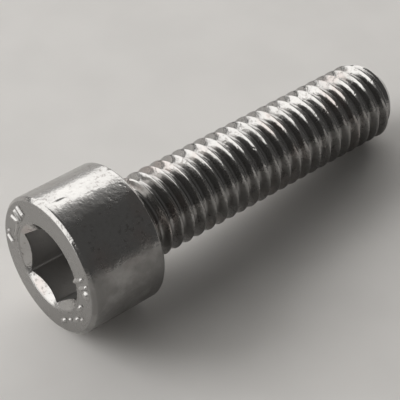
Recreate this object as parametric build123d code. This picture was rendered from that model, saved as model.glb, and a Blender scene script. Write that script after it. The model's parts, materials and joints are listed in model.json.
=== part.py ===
"""Hexagon socket head cap screw, M6 x 25, threaded to the head.

One cold-headed piece, so one solid in one node. It lies on its side as it
comes to rest: the lower edge of the head and the edge of the point touch the
floor, Z = 0. The origin is under the middle of the screw, +X runs along the
screw from the head to the point, and +Z is up.

The fine thread is left to the finished surface. The shank here has the
thread's major diameter, which is what a clearance hole or a nut meets.
"""

import os
from math import atan2, cos, degrees, radians, sin, sqrt, tan

from build123d import *

# Thread, mm
THREAD_D = 6.0          # major diameter
THREAD_PITCH = 1.0
FLANK_ANGLE = 60.0      # included angle between the thread's flanks
NECK_TURNS = 1.5        # turns of plain neck left between head and thread
POINT_DROP = 1.15       # how far the point's flat end lies inside the crests
POINT_LENGTH = 1.2      # lead-in taper from the crests to the flat end

# Head and length, mm
LENGTH = 24.6           # under the head to the end, nominally 25
HEAD_D = 10.0
HEAD_H = 6.0
RIM_EDGE = 0.4          # bevel round the top of the head
REAR_EDGE = 0.25        # bevel round the bearing face
RING_CLEARANCE = 0.1    # the flat bearing ring starts this far outside the crests

# Hexagon socket, mm
KEY_FLATS = 5.0         # width across flats of the key
KEY_CLEARANCE = 0.05    # added across flats
SOCKET_DEPTH = 3.2      # to the end of the straight flats
MOUTH_MARGIN = 0.26     # width of countersink left outside the hexagon's corners
MOUTH_ANGLE = 110.0     # included angle of the countersink
DRILL_ANGLE = 120.0     # included angle of the socket's conical bottom
SOCKET_TURN = 14.8      # one hexagon corner, from the top of the lying screw

# Where the seam of the turned faces runs, degrees from the top, clear of the floor
SEAM_TURN = 135.0

# Radii and stations along the screw's own axis, from the top of the head
head_r = HEAD_D / 2
thread_r = THREAD_D / 2
sharp_depth = THREAD_PITCH / 2 / tan(radians(FLANK_ANGLE / 2))
neck_r = thread_r - sharp_depth * 3 / 8     # the rolled blank, at the pitch line
point_r = thread_r - POINT_DROP
neck_fillet = thread_r + RING_CLEARANCE - neck_r
neck_end = HEAD_H + NECK_TURNS * THREAD_PITCH
thread_start = neck_end + (thread_r - neck_r)
point_start = HEAD_H + LENGTH - POINT_LENGTH
end = HEAD_H + LENGTH

# Outline of the turned shape as (station, radius), all its corners in order
fillet_from = (HEAD_H, neck_r + neck_fillet)
fillet_to = (HEAD_H + neck_fillet, neck_r)
before_fillet = [
    (0, 0),
    (0, head_r - RIM_EDGE),
    (RIM_EDGE, head_r),
    (HEAD_H - REAR_EDGE, head_r),
    (HEAD_H, head_r - REAR_EDGE),
    fillet_from,
]
after_fillet = [
    fillet_to,
    (neck_end, neck_r),
    (thread_start, thread_r),
    (point_start, thread_r),
    (end, point_r),
    (end, 0),
    (0, 0),
]


def turned_blank():
    """The head, neck, shank and point as one turned solid along +X."""
    with BuildSketch() as section:
        with BuildLine():
            Polyline(*before_fillet)
            RadiusArc(fillet_from, fillet_to, -neck_fillet)
            Polyline(*after_fillet)
        make_face()
    return Rot(SEAM_TURN, 0, 0) * revolve(section.sketch, Axis.X)


def socket_tool():
    """What the socket takes out: a countersink, a hexagon and a drill point."""
    across_flats = KEY_FLATS + KEY_CLEARANCE
    corner_r = across_flats / sqrt(3)
    flat_r = across_flats / 2
    mouth_r = corner_r + MOUTH_MARGIN
    mouth_depth = mouth_r / tan(radians(MOUTH_ANGLE / 2))
    drill_depth = flat_r / tan(radians(DRILL_ANGLE / 2))
    mouth_plane = Plane(origin=(0, 0, 0), x_dir=(0, 0, 1), z_dir=(1, 0, 0))
    hexagon = mouth_plane * Rot(0, 0, -SOCKET_TURN) * RegularPolygon(corner_r, 6)
    flats = extrude(hexagon, SOCKET_DEPTH)
    countersink = revolve(make_face(Polyline((0, 0), (0, mouth_r), (mouth_depth, 0), (0, 0))), Axis.X)
    drill_outline = Polyline(
        (SOCKET_DEPTH, 0), (SOCKET_DEPTH, flat_r), (SOCKET_DEPTH + drill_depth, 0), (SOCKET_DEPTH, 0)
    )
    drill_point = revolve(make_face(drill_outline), Axis.X)
    return flats + countersink + drill_point


def lay_down(solid):
    """Tip the screw until head and point both touch the floor, and centre it."""
    reach = point_start - (HEAD_H - REAR_EDGE)
    dip = atan2(head_r - thread_r, reach)
    corners = before_fillet + after_fillet
    floor = max(x * sin(dip) + r * cos(dip) for x, r in corners)
    back = min(x * cos(dip) - r * sin(dip) for x, r in corners)
    front = max(x * cos(dip) + r * sin(dip) for x, r in corners)
    return Pos(-(back + front) / 2, 0, floor) * Rot(0, degrees(dip), 0) * solid


cap_screw = lay_down(turned_blank() - socket_tool())

os.makedirs("parts", exist_ok=True)
export_step(cap_screw, "parts/cap_screw.step")
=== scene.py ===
"""Finished model of a hexagon socket head cap screw, lying as it comes to rest.

The head with its socket is one grid of points wrapped round the screw's axis.
The threaded shank is rolled by a Geometry Nodes tree. The two meet at the neck
and are joined into one closed mesh. Sizes are in millimetres, measured from
the top of the head along the screw's own axis and outwards from it; angles
are in degrees round that axis, from the top of the lying screw towards +Y.
"""

from __future__ import annotations

import json
import logging
import math
import sys
from dataclasses import dataclass
from enum import Enum

import bmesh
import bpy
import numpy as np
from bpy.types import Material, Mesh, Node, NodeOutputs, NodeSocket, NodeTree, Object
from mathutils import Matrix, Vector


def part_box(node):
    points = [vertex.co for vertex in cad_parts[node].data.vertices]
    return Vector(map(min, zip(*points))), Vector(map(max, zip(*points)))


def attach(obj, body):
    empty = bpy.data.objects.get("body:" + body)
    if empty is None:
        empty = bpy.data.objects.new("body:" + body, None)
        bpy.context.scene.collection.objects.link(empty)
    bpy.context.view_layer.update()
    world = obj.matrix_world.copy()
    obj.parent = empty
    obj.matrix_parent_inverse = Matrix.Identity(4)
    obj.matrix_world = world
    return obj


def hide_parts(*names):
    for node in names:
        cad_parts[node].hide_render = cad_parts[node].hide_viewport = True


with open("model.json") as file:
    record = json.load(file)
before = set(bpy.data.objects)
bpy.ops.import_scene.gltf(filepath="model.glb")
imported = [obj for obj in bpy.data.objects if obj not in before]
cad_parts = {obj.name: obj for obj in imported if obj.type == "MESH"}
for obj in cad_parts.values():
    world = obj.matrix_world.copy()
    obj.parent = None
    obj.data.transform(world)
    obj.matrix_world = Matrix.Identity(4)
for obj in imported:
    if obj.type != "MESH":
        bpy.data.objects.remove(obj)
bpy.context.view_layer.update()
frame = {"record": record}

Triple = tuple[float, float, float]

LOG = logging.getLogger("cap_screw")
MM = 0.001
SCREW_NODE = "cap_screw"
FLOAT = "NodeSocketFloat"

# In millimetres: points closer together than this are one, and thinner faces are dropped
MERGE_GAP = 0.002
SLIVER = 0.0005
# Millimetres over which the thread blends into the taper of the point
POINT_BLEND = 0.02
# How steeply a raised mark's edge rises, and how fast a dent's hollow fades
MARK_STEEPNESS = 1.6
DENT_FADE = 2.5
# Radians per turn of the wave that gathers rows at each crest and each root
GATHERS = 4 * math.pi


def rgba(colour: Triple, tone: float = 1.0) -> tuple[float, ...]:
    """Returns a colour at a share of its brightness, with full alpha."""
    return (*(tone * part for part in colour), 1)


class Graph:
    """Short ways to add nodes to one tree and to join them."""

    def __init__(self, tree: NodeTree) -> None:
        """Starts on the given tree, emptied of its nodes.

        Args:
            tree: The node tree to fill. Nodes already in it are removed.
        """
        self.tree = tree
        tree.nodes.clear()

    def node(self, kind: str, inputs: dict | None = None, **settings: object) -> Node:
        """Adds one node.

        Args:
            kind: The node's type name.
            inputs: Input names or numbers, with a socket to join or a value to set.
            settings: Properties of the node itself.

        Returns:
            The new node.
        """
        made = self.tree.nodes.new(kind)
        for name, value in settings.items():
            setattr(made, name, value)
        for key, value in (inputs or {}).items():
            self.feed(made.inputs[key], value)
        return made

    def feed(self, socket: NodeSocket, value: object) -> None:
        """Joins an input to another node's output, or sets its value."""
        if isinstance(value, NodeSocket):
            self.tree.links.new(value, socket)
        else:
            socket.default_value = value

    def math(self, operation: str, *values: object, clamp: bool = False) -> NodeSocket:
        """Adds a Math node on one to three values and returns its output."""
        inputs = dict(enumerate(values))
        return self.node("ShaderNodeMath", inputs, operation=operation, use_clamp=clamp).outputs[0]

    def ramp(
        self,
        value: object,
        start: object,
        end: object,
        low: object = 0.0,
        high: object = 1.0,
        smooth: bool = True,
    ) -> NodeSocket:
        """Turns a value between start and end into one between low and high.

        Args:
            value: The socket or number to turn.
            start: Where the ramp begins.
            end: Where the ramp ends.
            low: The result at and before start.
            high: The result at and after end.
            smooth: Whether the ramp eases in and out.

        Returns:
            The ramp's output.
        """
        inputs = {"Value": value, "From Min": start, "From Max": end, "To Min": low, "To Max": high}
        easing = "SMOOTHSTEP" if smooth else "LINEAR"
        return self.node("ShaderNodeMapRange", inputs, interpolation_type=easing).outputs[0]

    def noise(
        self, place: NodeSocket, scale: float, detail: float, roughness: float = 0.5
    ) -> NodeSocket:
        """Adds a Noise Texture on a place and returns its value."""
        inputs = {"Vector": place, "Scale": scale, "Detail": detail, "Roughness": roughness}
        return self.node("ShaderNodeTexNoise", inputs).outputs[0]

    def product(self, first: object, *others: object) -> NodeSocket:
        """Multiplies two or more values and returns the result."""
        result = first
        for other in others:
            result = self.math("MULTIPLY", result, other)
        return result

    def mix_colour(
        self, factor: object, first: object, second: object, blend: str = "MIX"
    ) -> NodeSocket:
        """Adds a colour Mix node and returns its colour."""
        made = self.node("ShaderNodeMix", data_type="RGBA", blend_type=blend)
        for key, value in ((0, factor), (6, first), (7, second)):
            self.feed(made.inputs[key], value)
        return made.outputs[2]


@dataclass(frozen=True)
class Lie:
    """How the screw lies.

    Attributes:
        face: Centre of the top of the head, in metres.
        along: Unit vector along the screw's axis, from the head to the point.
    """

    face: Vector
    along: Vector

    @classmethod
    def from_record(cls, record: dict) -> Lie:
        """Reads the screw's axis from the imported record's mounts."""
        mounts = {mount["name"]: mount for mount in record["mounts"]}
        axis = Vector(mounts["shank"]["axis"]).normalized()
        return cls(Vector(mounts["hex_socket"]["pos_m"]), axis)

    def dip(self) -> float:
        """Angle in radians by which the axis falls from head to point."""
        return math.asin(-self.along.z)

    def matrix(self) -> Matrix:
        """Matrix from millimetres along the screw to metres in the frame."""
        side = Vector((0, 1, 0))
        up = self.along.cross(side)
        turned = Matrix((self.along, side, up)).transposed().to_4x4()
        return Matrix.Translation(self.face) @ turned @ Matrix.Scale(MM, 4)


@dataclass(frozen=True)
class Corner:
    """One corner of a turned outline, with the radius that rounds it off."""

    station: float
    radius: float
    rounding: float = 0.0


def rounded_outline(corners: list[Corner], spacing: float, arc_steps: int = 4) -> np.ndarray:
    """Samples a turned outline with rounded corners.

    Args:
        corners: The outline's corners in order. The first and last stay sharp.
        spacing: Longest distance between samples on a straight stretch.
        arc_steps: Samples round each rounded corner.

    Returns:
        One row of station and radius for each sample.
    """
    points = [np.array((corners[0].station, corners[0].radius))]
    for before, corner, after in zip(corners, corners[1:], corners[2:]):
        here = np.array((corner.station, corner.radius))
        if not corner.rounding:
            points.append(here)
            continue
        back = np.array((before.station, before.radius)) - here
        ahead = np.array((after.station, after.radius)) - here
        back /= np.linalg.norm(back)
        ahead /= np.linalg.norm(ahead)
        opening = math.acos(float(np.clip(back @ ahead, -1, 1)))
        bisector = (back + ahead) / np.linalg.norm(back + ahead)
        centre = here + bisector * corner.rounding / math.sin(opening / 2)
        reach = corner.rounding / math.tan(opening / 2)
        first = here + back * reach - centre
        last = here + ahead * reach - centre
        sweep = math.pi - opening
        for share in np.linspace(0, 1, arc_steps + 1):
            near, far = math.sin((1 - share) * sweep), math.sin(share * sweep)
            points.append(centre + (near * first + far * last) / math.sin(sweep))
    points.append(np.array((corners[-1].station, corners[-1].radius)))
    samples = [points[0]]
    for start, end in zip(points, points[1:]):
        count = max(1, math.ceil(np.linalg.norm(end - start) / spacing))
        samples += [start + (end - start) * step / count for step in range(1, count + 1)]
    return np.array(samples)


class MarkShape(Enum):
    """The plain raised forms that a header die leaves on a screw's head."""

    BAR = "bar"
    PIP = "pip"


@dataclass(frozen=True)
class FaceMark:
    """One raised mark on the top of the head.

    Attributes:
        shape: Bar or pip.
        angle: Where it stands round the axis, in degrees.
        radius: Its distance from the axis.
        length: Its longer size.
        width: Its shorter size.
        turn: Degrees by which its length leans from the outward direction.
        height: How far it stands out of the face.
    """

    shape: MarkShape
    angle: float
    radius: float
    length: float
    width: float
    turn: float
    height: float

    def relief(self, across: np.ndarray, up: np.ndarray) -> np.ndarray:
        """Height of the mark over points of the face.

        Args:
            across: Distance of each point from the axis towards +Y.
            up: Distance of each point from the axis towards the top.

        Returns:
            How far the face is raised at each point.
        """
        bearing = math.radians(self.angle)
        lean = math.radians(self.angle + self.turn)
        dy = across - self.radius * math.sin(bearing)
        dz = up - self.radius * math.cos(bearing)
        lengthwise = dy * math.sin(lean) + dz * math.cos(lean)
        crosswise = dy * math.cos(lean) - dz * math.sin(lean)
        straight = 0.0 if self.shape is MarkShape.PIP else (self.length - self.width) / 2
        past_end = np.maximum(np.abs(lengthwise) - straight, 0)
        edge = 1 - np.hypot(past_end, crosswise) / (self.width / 2)
        rise = np.clip(edge * MARK_STEEPNESS, 0, 1)
        return self.height * rise * rise * (3 - 2 * rise)


@dataclass(frozen=True)
class Dent:
    """A knock in the side of the head.

    Attributes:
        station: Where it lies along the screw.
        angle: Where it lies round the axis, in degrees.
        length: Its size along the screw.
        width: Its size round the head.
        depth: How deep it goes.
        skew: Millimetres it drifts round the head for each along it.
    """

    station: float
    angle: float
    length: float
    width: float
    depth: float
    skew: float = 0.0

    def hollow(self, station: np.ndarray, angle: np.ndarray, radius: float) -> np.ndarray:
        """Depth of the dent over points of the head's side.

        Args:
            station: Station of each point.
            angle: Angle of each point, in radians.
            radius: The head's radius.

        Returns:
            How far each point is pushed in.
        """
        turn = (angle - math.radians(self.angle) + math.pi) % (2 * math.pi) - math.pi
        along = station - self.station
        across = turn * radius - self.skew * along
        distance = np.hypot(along / self.length, across / self.width) * 2
        return self.depth * np.exp(-DENT_FADE * distance**2)


@dataclass(frozen=True)
class Socket:
    """The hexagon socket: drill point, straight flats and countersunk mouth.

    Attributes:
        depth: Station where the straight flats end.
        mouth_margin: Width of countersink left outside the hexagon's corners.
        turn: Degrees from the top of the lying screw to one corner.
        corner_flat: How much of each corner is broken away.
    """

    flats: float = 5.05
    depth: float = 3.2
    drill_angle: float = 120.0
    mouth_margin: float = 0.26
    mouth_angle: float = 110.0
    turn: float = 14.8
    corner_flat: float = 0.03
    drill_rings: int = 6
    wall_rows: int = 6

    def mouth_radius(self) -> float:
        """Radius of the countersink at the top of the head."""
        return self.flats / math.sqrt(3) + self.mouth_margin

    def outline(self, angles: np.ndarray) -> np.ndarray:
        """Radius of the hexagon at each angle, with its corners just broken."""
        sixth = math.radians(60)
        from_flat = (angles - math.radians(self.turn)) % sixth - sixth / 2
        hexagon = self.flats / 2 / np.cos(from_flat)
        return np.minimum(hexagon, self.flats / math.sqrt(3) - self.corner_flat)

    def cone_station(self, radius: np.ndarray | float) -> np.ndarray | float:
        """Station of the countersink's cone at a radius."""
        return (self.mouth_radius() - radius) / math.tan(math.radians(self.mouth_angle / 2))

    def rows(self, angles: np.ndarray) -> list[tuple[np.ndarray, np.ndarray]]:
        """Rings of the socket from its deepest point out to its flats' top edge.

        Args:
            angles: The angle of each column, in radians.

        Returns:
            Station and radius for each column, ring by ring.
        """
        same = np.ones_like(angles)
        hexagon = self.outline(angles)
        inner = self.flats / 2
        drill_depth = inner / math.tan(math.radians(self.drill_angle / 2))
        rings = []
        for share in np.linspace(0, 1, self.drill_rings):
            rings.append((same * (self.depth + (1 - share) * drill_depth), same * inner * share))
        for share in (0.5, 1.0):
            rings.append((same * self.depth, inner + (hexagon - inner) * share))
        top = self.cone_station(hexagon)
        for share in np.linspace(0, 1, self.wall_rows + 1)[1:]:
            rings.append((self.depth + (top - self.depth) * share, hexagon))
        return rings


@dataclass(frozen=True)
class Head:
    """The screw's head, from the drill point of its socket to the neck.

    Attributes:
        height: Station of the bearing face.
        mouth_lip: How far the socket's lip stands out of the top.
        lip_steps: Where the lip starts, peaks, ends and meets the top, from the mouth outwards.
        edge_round: Rounding of the bevels' edges.
        side_lead: Length of finely divided side behind the rim bevel.
        neck_radius: Radius of the rolled blank.
        neck_fillet: Radius of the fillet under the head.
        neck_lead: Length of plain neck that the head's mesh includes.
        face_spacing: Longest edge on its top and rim.
        side_spacing: Longest edge on its side and bearing face.
    """

    socket: Socket
    marks: tuple[FaceMark, ...]
    dents: tuple[Dent, ...]
    radius: float = 5.0
    height: float = 6.0
    rim_bevel: float = 0.25
    rear_bevel: float = 0.22
    mouth_lip: float = 0.03
    lip_steps: tuple[float, float, float, float] = (-0.07, 0.04, 0.1, 0.2)
    edge_round: float = 0.13
    side_lead: float = 0.5
    neck_radius: float = 2.675
    neck_fillet: float = 0.28
    neck_lead: float = 0.06
    columns: int = 336
    face_spacing: float = 0.068
    side_spacing: float = 0.22

    def neck_station(self) -> float:
        """Station where the head's mesh hands over to the shank's."""
        return self.height + self.neck_fillet + self.neck_lead

    def angles(self) -> np.ndarray:
        """Angle of each column in radians, starting on a corner of the socket."""
        return np.radians(self.socket.turn) + np.arange(self.columns) * 2 * math.pi / self.columns

    def turned_rows(self) -> np.ndarray:
        """Samples of the turned outline from the countersink to the neck."""
        mouth = self.socket.mouth_radius()
        cone_start, lip_inner, lip_outer, lip_foot = (mouth + step for step in self.lip_steps)
        side_start = Corner(self.rim_bevel + self.side_lead, self.radius)
        front = [
            Corner(self.socket.cone_station(cone_start), cone_start),
            Corner(-self.mouth_lip, lip_inner, self.mouth_lip),
            Corner(-self.mouth_lip, lip_outer, self.mouth_lip),
            Corner(0, lip_foot, 2 * self.mouth_lip),
            Corner(0, self.radius - self.rim_bevel, self.edge_round),
            Corner(self.rim_bevel, self.radius, self.edge_round),
            side_start,
        ]
        rear = [
            side_start,
            Corner(self.height - self.rear_bevel, self.radius, self.edge_round),
            Corner(self.height, self.radius - self.rear_bevel, self.edge_round),
            Corner(self.height, self.neck_radius, self.neck_fillet),
            Corner(self.neck_station(), self.neck_radius),
        ]
        first = rounded_outline(front, self.face_spacing)
        return np.vstack((first, rounded_outline(rear, self.side_spacing)[1:]))

    def points(self) -> np.ndarray:
        """All the head's points as rings by columns, with marks and dents."""
        angles = self.angles()
        rings = self.socket.rows(angles)
        hexagon = self.socket.outline(angles)
        turned = self.turned_rows()
        cone_end = turned[0, 1]
        for share in (0.25, 0.5, 0.75):
            radius = hexagon + (cone_end - hexagon) * share
            rings.append((self.socket.cone_station(radius), radius))
        same = np.ones_like(angles)
        rings += [(same * station, same * radius) for station, radius in turned]
        station = np.array([ring[0] for ring in rings])
        radius = np.array([ring[1] for ring in rings])
        angle = np.broadcast_to(angles, station.shape)
        across, up = radius * np.sin(angle), radius * np.cos(angle)
        face = (station < 0.004) & (radius > self.socket.mouth_radius() + 0.01)
        raised = np.zeros_like(station)
        for mark in self.marks:
            raised = np.maximum(raised, mark.relief(across, up))
        station = station - raised * face
        side = (station > self.rim_bevel * 0.5) & (radius > self.radius - self.rear_bevel)
        for dent in self.dents:
            radius = radius - dent.hollow(station, angle, self.radius) * side
        return np.stack((station, radius * np.sin(angle), radius * np.cos(angle)), axis=-1)

    def build(self) -> bmesh.types.BMesh:
        """Builds the head's open mesh, whose last ring has half the columns."""
        grid = self.points()
        mesh = bmesh.new()
        rings = [[mesh.verts.new(point) for point in ring] for ring in grid[:-1]]
        last = [mesh.verts.new(point) for point in grid[-1][::2]]
        count = self.columns
        for inner, outer in zip(rings, rings[1:]):
            for column in range(count):
                after = (column + 1) % count
                mesh.faces.new((inner[column], outer[column], outer[after], inner[after]))
        fine = rings[-1]
        for column in range(count // 2):
            after = (column + 1) % (count // 2)
            left, middle, right = (fine[(2 * column + step) % count] for step in range(3))
            mesh.faces.new((left, last[column], middle))
            mesh.faces.new((middle, last[column], last[after]))
            mesh.faces.new((middle, last[after], right))
        return mesh


@dataclass(frozen=True)
class ThreadedShank:
    """The rolled thread, from the neck to the flat end of the point.

    Attributes:
        start: Station where it takes over from the head.
        start_turn: Degrees round the axis of its first column.
        crest_station: Station of one crest at the top of the lying screw.
        crest_width: Width of the flat on the crest.
        crest_round: Rounding between crest and flank.
        root_round: Rounding between flank and root.
        neck_end: Station where the thread starts to rise from the neck.
        run_out: Length over which it comes up to its full form.
        dish: How far the middle of the flat end is hollowed.
        columns: Points round the shank, half as many as round the head.
        bunching: How closely the rows gather at the crests and roots, 0 to 1.
        lead_in: Turns rolled before the start and past the end, so both ends are flat.
    """

    start: float
    start_turn: float
    crest_station: float = 9.93
    major_radius: float = 3.0
    blank_radius: float = 2.675
    root_radius: float = 2.387
    pitch: float = 1.0
    flank_angle: float = 60.0
    crest_width: float = 0.09
    crest_round: float = 0.15
    root_round: float = 0.15
    neck_end: float = 6.4
    run_out: float = 1.8
    point_start: float = 29.4
    point_radius: float = 1.85
    end: float = 30.6
    dish: float = 0.12
    columns: int = 168
    rows_per_turn: int = 14
    bunching: float = 0.6
    lead_in: float = 0.1
    cap_rows: int = 8

    def inputs(self) -> dict[str, float]:
        """Values of the tree's named inputs for this shank."""
        turns = (self.end - self.start) / self.pitch + 1 + 2 * self.lead_in
        thread_rows = math.ceil(turns * self.rows_per_turn)
        crest_turns = (self.crest_station - self.start) / self.pitch - self.start_turn / 360
        return {
            "Start": self.start,
            "End": self.end,
            "Start Turn": math.radians(self.start_turn),
            "Major Radius": self.major_radius,
            "Blank Radius": self.blank_radius,
            "Root Radius": self.root_radius,
            "Pitch": self.pitch,
            "Flank Slope": 1 / math.tan(math.radians(self.flank_angle / 2)),
            "Crest Half": self.crest_width / 2,
            "Crest Round": self.crest_round,
            "Root Round": self.root_round,
            "Crest Phase": -crest_turns,
            "Neck End": self.neck_end,
            "Run Out": self.run_out,
            "Point Start": self.point_start,
            "Point Radius": self.point_radius,
            "Dish": self.dish,
            "Columns": float(self.columns),
            "Rows Per Turn": float(self.rows_per_turn),
            "Bunching": self.bunching / GATHERS,
            "Lead In": self.lead_in,
            "Thread Rows": float(thread_rows),
            "Cap Rows": float(self.cap_rows),
        }

    def tree(self, finish: Material) -> NodeTree:
        """Builds the node tree that rolls the thread.

        Args:
            finish: The material that the thread is given.

        Returns:
            The tree, which ignores the geometry that it is put on.
        """
        group = bpy.data.node_groups.new("rolled_thread", "GeometryNodeTree")
        graph = Graph(group)
        for name in self.inputs():
            group.interface.new_socket(name, in_out="INPUT", socket_type=FLOAT)
        group.interface.new_socket("Shank", in_out="OUTPUT", socket_type="NodeSocketGeometry")
        size = graph.node("NodeGroupInput").outputs
        rows = graph.math("ADD", size["Thread Rows"], size["Cap Rows"])
        grid = graph.node(
            "GeometryNodeMeshGrid",
            {
                "Size X": rows,
                "Size Y": size["Columns"],
                "Vertices X": graph.math("ADD", rows, 1.0),
                "Vertices Y": graph.math("ADD", size["Columns"], 1.0),
            },
        )
        place = graph.node("GeometryNodeInputPosition").outputs[0]
        flat = graph.node("ShaderNodeSeparateXYZ", {0: place}).outputs
        row = graph.math("ADD", flat["X"], graph.product(rows, 0.5))
        column = graph.math("ADD", flat["Y"], graph.product(size["Columns"], 0.5))
        turn = graph.math("DIVIDE", column, size["Columns"])
        rolled_turns = graph.math("DIVIDE", row, size["Rows Per Turn"])
        even = graph.math("SUBTRACT", rolled_turns, size["Lead In"])
        from_crest = graph.math("ADD", even, size["Crest Phase"])
        wave = graph.math("SINE", graph.product(from_crest, GATHERS))
        phase = graph.math("SUBTRACT", even, graph.product(wave, size["Bunching"]))
        advance = graph.product(graph.math("SUBTRACT", phase, turn), size["Pitch"])
        station = graph.math("MAXIMUM", graph.math("ADD", size["Start"], advance), size["Start"])
        station = graph.math("MINIMUM", station, size["End"])
        radius = self.thread_radius(graph, size, phase, station)
        past_end = graph.math("SUBTRACT", row, size["Thread Rows"])
        cap = graph.math("DIVIDE", past_end, size["Cap Rows"], clamp=True)
        radius = graph.product(radius, graph.math("SUBTRACT", 1.0, cap))
        sunk = graph.product(graph.ramp(cap, 0.1, 0.9), size["Dish"])
        station = graph.math("SUBTRACT", station, sunk)
        angle = graph.math("MULTIPLY_ADD", turn, 2 * math.pi, size["Start Turn"])
        wrapped = graph.node(
            "ShaderNodeCombineXYZ",
            {
                "X": station,
                "Y": graph.product(radius, graph.math("SINE", angle)),
                "Z": graph.product(radius, graph.math("COSINE", angle)),
            },
        )
        rolled = graph.node(
            "GeometryNodeSetPosition",
            {"Geometry": grid.outputs["Mesh"], "Position": wrapped.outputs[0]},
        )
        closed = graph.node(
            "GeometryNodeMergeByDistance", {"Geometry": rolled.outputs[0], "Distance": MERGE_GAP}
        )
        smooth = graph.node("GeometryNodeSetShadeSmooth", {"Geometry": closed.outputs[0]})
        real = graph.node("GeometryNodeRealizeInstances", {"Geometry": smooth.outputs[0]})
        dressed = graph.node(
            "GeometryNodeSetMaterial", {"Geometry": real.outputs[0], "Material": finish}
        )
        graph.node("NodeGroupOutput", {"Shank": dressed.outputs[0]})
        return group

    @staticmethod
    def thread_radius(
        graph: Graph,
        size: NodeOutputs,
        phase: NodeSocket,
        station: NodeSocket,
    ) -> NodeSocket:
        """Adds the nodes that give the thread's radius.

        Args:
            graph: The tree to add to.
            size: The tree's named inputs.
            phase: Turns counted along the helix.
            station: Station along the screw.

        Returns:
            The radius: crest, flanks and root, faded into the neck and cut by the point.
        """
        turns = graph.math("ADD", phase, size["Crest Phase"])
        from_crest = graph.product(graph.math("PINGPONG", turns, 0.5), size["Pitch"])
        fall = graph.math("SUBTRACT", size["Crest Half"], from_crest)
        flank = graph.math("MULTIPLY_ADD", fall, size["Flank Slope"], size["Major Radius"])
        crest = graph.math("SMOOTH_MIN", flank, size["Major Radius"], size["Crest Round"])
        full = graph.math("SMOOTH_MAX", crest, size["Root Radius"], size["Root Round"])
        formed = graph.ramp(
            station, size["Neck End"], graph.math("ADD", size["Neck End"], size["Run Out"])
        )
        above_blank = graph.math("SUBTRACT", full, size["Blank Radius"])
        faded = graph.math("MULTIPLY_ADD", above_blank, formed, size["Blank Radius"])
        taper = (size["Major Radius"], size["Point Radius"])
        point = graph.ramp(station, size["Point Start"], size["End"], *taper, smooth=False)
        return graph.math("SMOOTH_MIN", faded, point, POINT_BLEND)

    def build(self, finish: Material) -> Mesh:
        """Rolls the thread and returns it as a plain mesh, in millimetres."""
        carrier = bpy.data.objects.new("thread_carrier", bpy.data.meshes.new("thread_carrier"))
        bpy.context.scene.collection.objects.link(carrier)
        tree = self.tree(finish)
        modifier = carrier.modifiers.new("rolled_thread", "NODES")
        modifier.node_group = tree
        keys = {item.name: item.identifier for item in tree.interface.items_tree}
        for name, value in self.inputs().items():
            modifier[keys[name]] = value
        shown = carrier.evaluated_get(bpy.context.evaluated_depsgraph_get())
        mesh = bpy.data.meshes.new_from_object(shown)
        carrier.modifiers.clear()
        bpy.data.objects.remove(carrier)
        return mesh


@dataclass(frozen=True)
class NodeGroup:
    """A shared effect: a shader node group with named inputs and outputs.

    Attributes:
        name: The group's name.
        inputs: Socket type and starting value of each input.
        outputs: Socket type of each output.
    """

    name: str
    inputs: dict[str, tuple[str, object]]
    outputs: dict[str, str]

    def start(self) -> tuple[Graph, NodeOutputs]:
        """Makes the group with its sockets.

        Returns:
            A graph to fill, and the group's inputs as sockets to join from.
        """
        tree = bpy.data.node_groups.new(self.name, "ShaderNodeTree")
        for name, (kind, value) in self.inputs.items():
            socket = tree.interface.new_socket(name, in_out="INPUT", socket_type=kind)
            if value is not None:
                socket.default_value = value
        for name, kind in self.outputs.items():
            tree.interface.new_socket(name, in_out="OUTPUT", socket_type=kind)
        graph = Graph(tree)
        return graph, graph.node("NodeGroupInput").outputs


def skin_relief() -> NodeTree:
    """Group for the tumbled and handled skin.

    Returns:
        The group, which puts out the skin's height in millimetres.
    """
    parts = NodeGroup(
        "skin_relief",
        {
            "Place": ("NodeSocketVector", None),
            "Peel": (FLOAT, 0.013),
            "Grain": (FLOAT, 0.015),
            "Pits": (FLOAT, 0.009),
            "Scratches": (FLOAT, 0.002),
        },
        {"Height": FLOAT},
    )
    graph, given = parts.start()
    place = given["Place"]
    patch = graph.noise(place, 0.8, 1.0)
    cells = graph.node("ShaderNodeTexVoronoi", {"Vector": place, "Scale": 2.4})
    pit = graph.product(
        graph.ramp(cells.outputs["Distance"], 0.02, 0.3, 1.0, 0.0), graph.ramp(patch, 0.5, 0.62)
    )
    drawn = graph.node("ShaderNodeMapping", {"Vector": place, "Scale": (0.35, 9.0, 9.0)})
    lines = graph.noise(drawn.outputs[0], 1.0, 2.0)
    grain_depth = graph.product(graph.ramp(patch, 0.42, 0.6, 0.35), given["Grain"])
    height = graph.product(graph.noise(place, 1.9, 2.0), given["Peel"])
    height = graph.math("MULTIPLY_ADD", graph.noise(place, 4.2, 2.5), grain_depth, height)
    height = graph.math("MULTIPLY_ADD", lines, given["Scratches"], height)
    sunk = graph.product(pit, given["Pits"])
    graph.node("NodeGroupOutput", {"Height": graph.math("SUBTRACT", height, sunk)})
    return graph.tree


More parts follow.
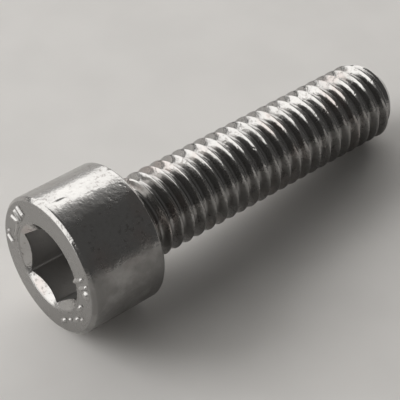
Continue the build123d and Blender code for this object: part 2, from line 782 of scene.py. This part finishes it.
def screw_zones() -> NodeTree:
    """Group that tells the screw's zones apart.

    They are the top of the head, the marks raised on it, the socket, the roots
    of the thread and the lower side towards -Y. The material darkens the top,
    the socket, the roots and the lower side with painted shade. The marks stand
    out of the top, so they lie at stations below zero.

    Returns:
        The group, with one mask for each zone.
    """
    parts = NodeGroup(
        "screw_zones",
        {
            "Place": ("NodeSocketVector", None),
            "Head Height": (FLOAT, 6.0),
            "Head Radius": (FLOAT, 5.0),
            "Mouth Radius": (FLOAT, 3.18),
            "Mouth Slope": (FLOAT, math.tan(math.radians(35))),
            "Root Radius": (FLOAT, 2.4),
        },
        {name: FLOAT for name in ("Face", "Marks", "Socket", "Roots", "Lower Shade")},
    )
    graph, given = parts.start()
    part = graph.node("ShaderNodeSeparateXYZ", {0: given["Place"]}).outputs
    station = part["X"]
    height_squared = graph.product(part["Z"], part["Z"])
    radius = graph.math("SQRT", graph.math("MULTIPLY_ADD", part["Y"], part["Y"], height_squared))
    in_head = graph.math("LESS_THAN", station, given["Head Height"])
    on_shank = graph.math("GREATER_THAN", station, given["Head Height"])
    inside = graph.math("SUBTRACT", given["Mouth Radius"], radius)
    below_mouth = graph.math("SUBTRACT", station, graph.product(inside, given["Mouth Slope"]))
    in_mouth = graph.ramp(inside, 0.1, 0.2)
    socket = graph.product(graph.ramp(below_mouth, 0.01, 0.1), in_mouth, in_head)
    root_end = graph.math("ADD", given["Root Radius"], 0.3)
    roots = graph.ramp(radius, given["Root Radius"], root_end, 1.0, 0.0)
    upward = graph.math("DIVIDE", part["Z"], radius)
    sideways = graph.math("DIVIDE", part["Y"], radius)
    # Lower side towards -Y: the mask for painted shade.
    low = graph.ramp(upward, 0.32, 0.68, 1.0, 0.0)
    low_side = graph.product(low, graph.ramp(sideways, -0.5, -0.8))
    from_side = graph.math("SUBTRACT", given["Head Radius"], radius)
    head_side = graph.product(graph.ramp(from_side, 0.15, 0.4, 1.0, 0.0), in_head)
    outer = graph.math("MULTIPLY_ADD", on_shank, 0.6, head_side)
    graph.node(
        "NodeGroupOutput",
        {
            "Face": graph.ramp(station, 0.015, 0.05, 1.0, 0.0),
            "Marks": graph.ramp(station, -0.08, -0.02, 1.0, 0.0),
            "Socket": socket,
            "Roots": graph.product(roots, on_shank),
            "Lower Shade": graph.product(low_side, outer),
        },
    )
    return graph.tree


@dataclass(frozen=True)
class RolledSteel:
    """Bright stainless steel as headed and rolled, then lightly handled, with painted shade in the
    socket, at the thread roots, on the top of the head and on the head's lower side.

    Attributes:
        colour: The metal's colour where it is clean.
        stain: Its colour under the faint warm stains of handling.
        socket_shade: Painted shade: its colour in the socket, a little darker than the clean steel
            to stand in for the shade in that recess.
        root_shade: Painted shade: its colour at the roots of the thread, darker to stand in for the
            shade between the crests.
        fleck: Its colour in the small dark flecks of the skin.
        lower_shade: Painted shade: its colour on the lower side of the head towards -Y, and more
            weakly of the shank, standing in for the dim reflection there.
        face_shade_tone: Painted shade: how much of its brightness the top of the head keeps,
            darkened to stand in for the dimmer reflection it shows; the raised marks keep the full
            colour.
        smear_tone: How much of it the smeared parts keep.
        fleck_and_root_shade_cover: How strongly the flecks and the painted shade at the thread
            roots cover the steel.
        roughness: How much it blurs a reflection where it is cleanest.
    """

    colour: Triple = (0.46, 0.452, 0.442)
    stain: Triple = (0.445, 0.395, 0.375)
    socket_shade: Triple = (0.44, 0.432, 0.424)
    root_shade: Triple = (0.33, 0.322, 0.315)
    fleck: Triple = (0.25, 0.235, 0.225)
    lower_shade: Triple = (0.25, 0.245, 0.238)
    face_shade_tone: float = 0.74
    smear_tone: float = 0.93
    fleck_and_root_shade_cover: float = 0.75
    roughness: float = 0.13

    def place(self, graph: Graph, lie: Lie) -> NodeSocket:
        """Adds the nodes for a place in millimetres along and across the screw."""
        local = graph.node("ShaderNodeMapping", vector_type="TEXTURE")
        graph.feed(local.inputs["Vector"], graph.node("ShaderNodeTexCoord").outputs["Object"])
        local.inputs["Location"].default_value = lie.face
        local.inputs["Rotation"].default_value = (0, lie.dip(), 0)
        local.inputs["Scale"].default_value = (MM, MM, MM)
        return local.outputs[0]

    def material(self, lie: Lie) -> Material:
        """Builds the material.

        Args:
            lie: How the screw lies, so that patterns can follow its axis.

        Returns:
            The node material.
        """
        made = bpy.data.materials.new("bright_stainless_steel")
        made.use_nodes = True
        graph = Graph(made.node_tree)
        where = self.place(graph, lie)
        zone = graph.node("ShaderNodeGroup", {"Place": where}, node_tree=screw_zones()).outputs
        relief = graph.node("ShaderNodeGroup", {"Place": where}, node_tree=skin_relief())
        height = graph.product(relief.outputs["Height"], MM)
        bump = graph.node("ShaderNodeBump", {"Height": height, "Distance": 1.0, "Strength": 1.0})
        smear = graph.noise(where, 0.7, 5.0)
        stained = graph.ramp(graph.noise(where, 0.33, 3.0), 0.52, 0.68, 0.0, 0.7)
        specks = graph.ramp(graph.noise(where, 3.6, 3.0, 0.65), 0.52, 0.66)
        fleck = graph.product(specks, graph.ramp(smear, 0.4, 0.6, 0.25))
        # Painted shade on the lower side, made patchy by the smear noise.
        lower_shade = graph.product(zone["Lower Shade"], graph.ramp(smear, 0.3, 0.6, 0.55))
        layers = (
            (graph.ramp(smear, 0.38, 0.68), rgba(self.colour, self.smear_tone)),
            (stained, rgba(self.stain)),
            (graph.product(fleck, self.fleck_and_root_shade_cover), rgba(self.fleck)),
            # Painted shade: the top of the head is darkened, and the raised marks then get back the
            # full colour.
            (zone["Face"], rgba(self.colour, self.face_shade_tone)),
            # Painted shade on the lower side.
            (lower_shade, rgba(self.lower_shade)),
            (zone["Marks"], rgba(self.colour)),
            # Painted shade: the socket is darkened.
            (zone["Socket"], rgba(self.socket_shade)),
            # Painted shade at the roots of the thread.
            (graph.product(zone["Roots"], self.fleck_and_root_shade_cover), rgba(self.root_shade)),
        )
        tone = rgba(self.colour)
        for mask, colour in layers:
            tone = graph.mix_colour(mask, tone, colour)
        roughness = graph.ramp(smear, 0.35, 0.7, self.roughness, self.roughness + 0.09)
        blurs = ((zone["Face"], 0.08), (zone["Socket"], 0.26), (zone["Lower Shade"], 0.2), (fleck, 0.1))
        for mask, blur in blurs:
            roughness = graph.math("MULTIPLY_ADD", mask, blur, roughness)
        shader = graph.node(
            "ShaderNodeBsdfPrincipled",
            {
                "Base Color": tone,
                "Metallic": 1.0,
                "Roughness": roughness,
                "Normal": bump.outputs[0],
            },
        )
        graph.node("ShaderNodeOutputMaterial", {"Surface": shader.outputs[0]})
        return made


@dataclass(frozen=True)
class CapScrew:
    """The whole screw: the head and the threaded shank as one closed mesh."""

    lie: Lie
    head: Head
    shank: ThreadedShank
    finish: RolledSteel
    sharp_angle: float = 40.0

    def build(self) -> Object:
        """Builds, closes and dresses the screw.

        Returns:
            The finished object, at the origin with its place in its mesh.
        """
        steel = self.finish.material(self.lie)
        body = self.head.build()
        body.from_mesh(self.shank.build(steel))
        bmesh.ops.remove_doubles(body, verts=body.verts, dist=MERGE_GAP)
        bmesh.ops.dissolve_degenerate(body, edges=body.edges, dist=SLIVER)
        bmesh.ops.recalc_face_normals(body, faces=body.faces)
        bmesh.ops.triangulate(body, faces=[face for face in body.faces if len(face.verts) > 4])
        for face in body.faces:
            face.smooth = True
            face.material_index = 0
        limit = math.radians(self.sharp_angle)
        socket_rim = self.head.socket.mouth_radius() + 0.01
        for edge in body.edges:
            middle = (edge.verts[0].co + edge.verts[1].co) / 2
            in_socket = middle.x < self.head.height and math.hypot(middle.y, middle.z) < socket_rim
            edge.smooth = not (in_socket and edge.calc_face_angle(0.0) > limit)
        self.report(body)
        body.transform(self.lie.matrix())
        mesh = bpy.data.meshes.new("socket_cap_screw")
        body.to_mesh(mesh)
        body.free()
        mesh.materials.clear()
        mesh.materials.append(steel)
        piece = bpy.data.objects.new("socket_cap_screw", mesh)
        bpy.context.scene.collection.objects.link(piece)
        return piece

    @staticmethod
    def report(body: bmesh.types.BMesh) -> None:
        """Logs the mesh's size and whether it is closed."""
        triangles = sum(len(face.verts) - 2 for face in body.faces)
        open_edges = sum(not edge.is_manifold for edge in body.edges)
        volume = body.calc_volume(signed=True)
        LOG.info("screw mesh: %d triangles, %d open edges, %.1f mm3", triangles, open_edges, volume)


def head_marks() -> tuple[FaceMark, ...]:
    """Plain raised bars and pips where the die marks the top of the head."""
    bars = (
        (47, 4.1, 0.95, 0.34, 15, 0.15),
        (56, 3.95, 1.05, 0.34, -5, 0.16),
        (65, 4.0, 0.9, 0.34, 25, 0.15),
        (77, 3.55, 1.4, 0.24, 90, 0.08),
        (97, 4.15, 0.85, 0.32, -35, 0.14),
        (294, 3.55, 1.25, 0.36, 19, 0.16),
        (288, 4.0, 1.05, 0.34, 24, 0.16),
        (255, 3.6, 0.75, 0.4, 79, 0.17),
        (234, 3.9, 0.75, 0.4, 89, 0.16),
        (207, 3.95, 0.65, 0.4, 110, 0.16),
    )
    pips = (
        (89, 4.3, 0.4, 0.13),
        (281, 4.2, 0.8, 0.2),
        (221, 3.8, 0.38, 0.12),
        (244, 4.15, 0.36, 0.12),
    )
    marks = [FaceMark(MarkShape.BAR, *bar) for bar in bars]
    marks += [
        FaceMark(MarkShape.PIP, angle, radius, width, width, 0.0, height)
        for angle, radius, width, height in pips
    ]
    return tuple(marks)


def head_dents() -> tuple[Dent, ...]:
    """The knocks on the head's side and rear edge."""
    return (
        Dent(station=1.25, angle=4.5, length=1.7, width=0.34, depth=0.06, skew=-0.12),
        Dent(station=0.75, angle=9.0, length=0.7, width=0.3, depth=0.05),
        Dent(station=4.9, angle=9.0, length=0.5, width=0.3, depth=0.03),
        Dent(station=5.95, angle=12.0, length=0.7, width=0.5, depth=0.12),
        Dent(station=1.6, angle=-22.0, length=0.5, width=0.35, depth=0.02),
        Dent(station=3.3, angle=-34.0, length=0.8, width=0.6, depth=0.015),
    )


@dataclass(frozen=True)
class PaperSheet:
    """The pale paper that the screw lies on.

    Attributes:
        colour: Its colour.
        cloud_tone: How much of its brightness the cloudy parts keep.
        half_width: Half its width in metres.
    """

    colour: Triple = (0.745, 0.726, 0.703)
    cloud_tone: float = 0.965
    half_width: float = 1.5

    def build(self, level: float) -> Object:
        """Lays the sheet.

        Args:
            level: Height of the sheet in metres.

        Returns:
            The sheet, which isn't part of the screw.
        """
        sheet = bmesh.new()
        bmesh.ops.create_grid(sheet, x_segments=1, y_segments=1, size=self.half_width)
        mesh = bpy.data.meshes.new("paper")
        sheet.to_mesh(mesh)
        sheet.free()
        mesh.transform(Matrix.Translation((0, 0, level)))
        mesh.materials.append(self.material())
        paper = bpy.data.objects.new("paper", mesh)
        bpy.context.scene.collection.objects.link(paper)
        return paper

    def material(self) -> Material:
        """Matt paper with a faint cloudy tone."""
        made = bpy.data.materials.new("pale_paper")
        made.use_nodes = True
        graph = Graph(made.node_tree)
        place = graph.node("ShaderNodeTexCoord").outputs["Object"]
        cloud = graph.ramp(graph.noise(place, 160.0, 2.0), 0.35, 0.65)
        tone = graph.mix_colour(cloud, rgba(self.colour), rgba(self.colour, self.cloud_tone))
        shader = graph.node(
            "ShaderNodeBsdfPrincipled",
            {"Base Color": tone, "Roughness": 0.9, "Specular IOR Level": 0.2},
        )
        graph.node("ShaderNodeOutputMaterial", {"Surface": shader.outputs[0]})
        return made


@dataclass(frozen=True)
class SoftLight:
    """A round soft light that lights the paper but leaves no spot on the steel.

    Attributes:
        power: Its power in watts.
        size: Its width in metres.
        distance: Metres from the screw.
        bearing: Degrees from +Y towards +X in which it stands.
        elevation: Degrees above the paper.
    """

    power: float
    size: float
    distance: float
    bearing: float
    elevation: float

    def hang(self, target: Vector) -> Object:
        """Hangs the light so that it faces the target, and returns it."""
        light = bpy.data.lights.new("soft_light", "AREA")
        light.shape = "DISK"
        light.size = self.size
        light.energy = self.power
        lamp = bpy.data.objects.new("soft_light", light)
        bearing, rise = math.radians(self.bearing), math.radians(self.elevation)
        toward = Vector(
            (math.sin(bearing) * math.cos(rise), math.cos(bearing) * math.cos(rise), math.sin(rise))
        )
        lamp.location = target + toward * self.distance
        lamp.rotation_euler = toward.to_track_quat("Z", "Y").to_euler()
        lamp.visible_glossy = False
        bpy.context.scene.collection.objects.link(lamp)
        return lamp


@dataclass(frozen=True)
class Studio:
    """A dim room with one wide, low window, and soft fill over the paper.

    Attributes:
        window_left: Bearing of the window's left end, degrees from +Y towards +X.
        window_right: Bearing of its right end.
        facing: Bearing of the window's wall.
        sill_slope: Height of the sill over its distance from the screw.
        window_top: Elevation of its upper edge.
        feather: Degrees over which its edges fade.
        window_light: Its radiance.
        halo_light: Radiance of the blind over the window, where it starts.
        halo_height: Degrees over which the blind's glow dies away.
        room_light: Radiance of the room round it.
        wall_left: Bearing from which the wall under the window is pale.
        wall_light: Radiance of that pale wall.
        colour: Colour of all this light.
        fills: The soft lights over the paper.
    """

    window_left: float = -94.0
    window_right: float = 75.0
    facing: float = 20.0
    sill_slope: float = 0.18
    window_top: float = 43.5
    feather: float = 1.6
    window_light: float = 2.05
    halo_light: float = 0.34
    halo_height: float = 24.0
    room_light: float = 0.1
    wall_left: float = 18.0
    wall_light: float = 0.6
    colour: Triple = (1.0, 0.99, 0.97)
    fills: tuple[SoftLight, ...] = (
        SoftLight(0.8, 0.26, 0.4, -42.0, 26.0),
        SoftLight(0.1, 0.3, 0.4, 25.0, 40.0),
    )

    def world(self) -> None:
        """Sets the room and its window as the world."""
        world = bpy.data.worlds.new("studio")
        world.use_nodes = True
        graph = Graph(world.node_tree)
        toward = graph.node("ShaderNodeTexCoord").outputs["Generated"]
        part = graph.node("ShaderNodeSeparateXYZ", {0: toward}).outputs
        bearing = graph.math("ARCTAN2", part["X"], part["Y"])
        elevation = graph.math("ARCSINE", part["Z"])
        left, right, top, wall_left, feather, facing, halo = (
            math.radians(value)
            for value in (
                self.window_left,
                self.window_right,
                self.window_top,
                self.wall_left,
                self.feather,
                self.facing,
                self.halo_height,
            )
        )
        off_wall = graph.math("COSINE", graph.math("SUBTRACT", bearing, facing))
        sill = graph.math("ARCTANGENT", graph.product(off_wall, self.sill_slope))
        sill_low = graph.math("SUBTRACT", sill, feather)
        sill_high = graph.math("ADD", sill, feather)
        after_left = graph.ramp(bearing, left - feather, left + feather)
        before_right = graph.ramp(bearing, right - feather, right + feather, 1.0, 0.0)
        over_sill = graph.ramp(elevation, sill_low, sill_high)
        under_top = graph.ramp(elevation, top - feather, top + feather, 1.0, 0.0)
        lit = graph.product(after_left, before_right, over_sill, under_top)
        after_wall = graph.ramp(bearing, wall_left - feather, wall_left + feather)
        under_sill = graph.ramp(elevation, sill_low, sill_high, 1.0, 0.0)
        under = graph.product(after_wall, before_right, under_sill)
        fade = graph.math("POWER", graph.ramp(elevation, top, top + halo, 1.0, 0.0, False), 2.0)
        blind = graph.product(after_left, before_right, over_sill, fade)
        glow = self.window_light - self.room_light
        strength = graph.math("MULTIPLY_ADD", lit, glow - self.halo_light, self.room_light)
        strength = graph.math("MULTIPLY_ADD", blind, self.halo_light, strength)
        strength = graph.math("MULTIPLY_ADD", under, self.wall_light, strength)
        back = graph.node(
            "ShaderNodeBackground", {"Color": rgba(self.colour), "Strength": strength}
        )
        graph.node("ShaderNodeOutputWorld", {"Surface": back.outputs[0]})
        bpy.context.scene.world = world

    def light(self, target: Vector) -> None:
        """Sets the world and hangs the soft lights round the target."""
        self.world()
        for fill in self.fills:
            fill.hang(target)


@dataclass(frozen=True)
class CameraRig:
    """The view: a long lens looking down at the screw from behind its head.

    Attributes:
        bearing: Degrees from +Y towards +X in which the camera looks.
        elevation: Degrees by which it looks down.
        distance: Millimetres from the camera to the point it aims at.
        aim: Millimetres from the middle of the screw to that point.
        lens: Focal length for a 36 mm sensor.
    """

    bearing: float = 40.77
    elevation: float = 45.87
    distance: float = 103.13
    aim: Triple = (-2.29, -0.384, -1.733)
    lens: float = 132.13

    def build(self, middle: Vector) -> Object:
        """Places the camera and makes it the scene's.

        Args:
            middle: Middle of the screw's box, in metres.

        Returns:
            The camera.
        """
        data = bpy.data.cameras.new("view")
        data.sensor_width = 36.0
        data.lens = self.lens
        data.clip_start = 0.01
        camera = bpy.data.objects.new("view", data)
        turn, fall = math.radians(self.bearing), math.radians(self.elevation)
        look = Vector(
            (math.sin(turn) * math.cos(fall), math.cos(turn) * math.cos(fall), -math.sin(fall))
        )
        camera.location = middle + (Vector(self.aim) - look * self.distance) * MM
        camera.rotation_euler = look.to_track_quat("-Z", "Y").to_euler()
        bpy.context.scene.collection.objects.link(camera)
        bpy.context.scene.camera = camera
        return camera


def main() -> None:
    """Builds the screw, then the paper, the lights and the camera."""
    logging.basicConfig(level=logging.INFO, format="%(name)s: %(message)s", stream=sys.stdout)
    low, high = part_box(SCREW_NODE)
    middle = (low + high) / 2
    lie = Lie.from_record(frame["record"])
    head = Head(Socket(), head_marks(), head_dents())
    shank = ThreadedShank(head.neck_station(), head.socket.turn)
    screw = CapScrew(lie, head, shank, RolledSteel()).build()
    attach(screw, "root")
    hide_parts(SCREW_NODE)
    LOG.info("screw built as %s", screw.name)
    paper = PaperSheet().build(low.z)
    LOG.info("paper laid at %.4f m", low.z)
    Studio().light(middle)
    CameraRig().build(middle)
    bpy.context.scene.view_settings.view_transform = "Standard"
    LOG.info("lights and camera placed")


if __name__ == "__main__":
    main()
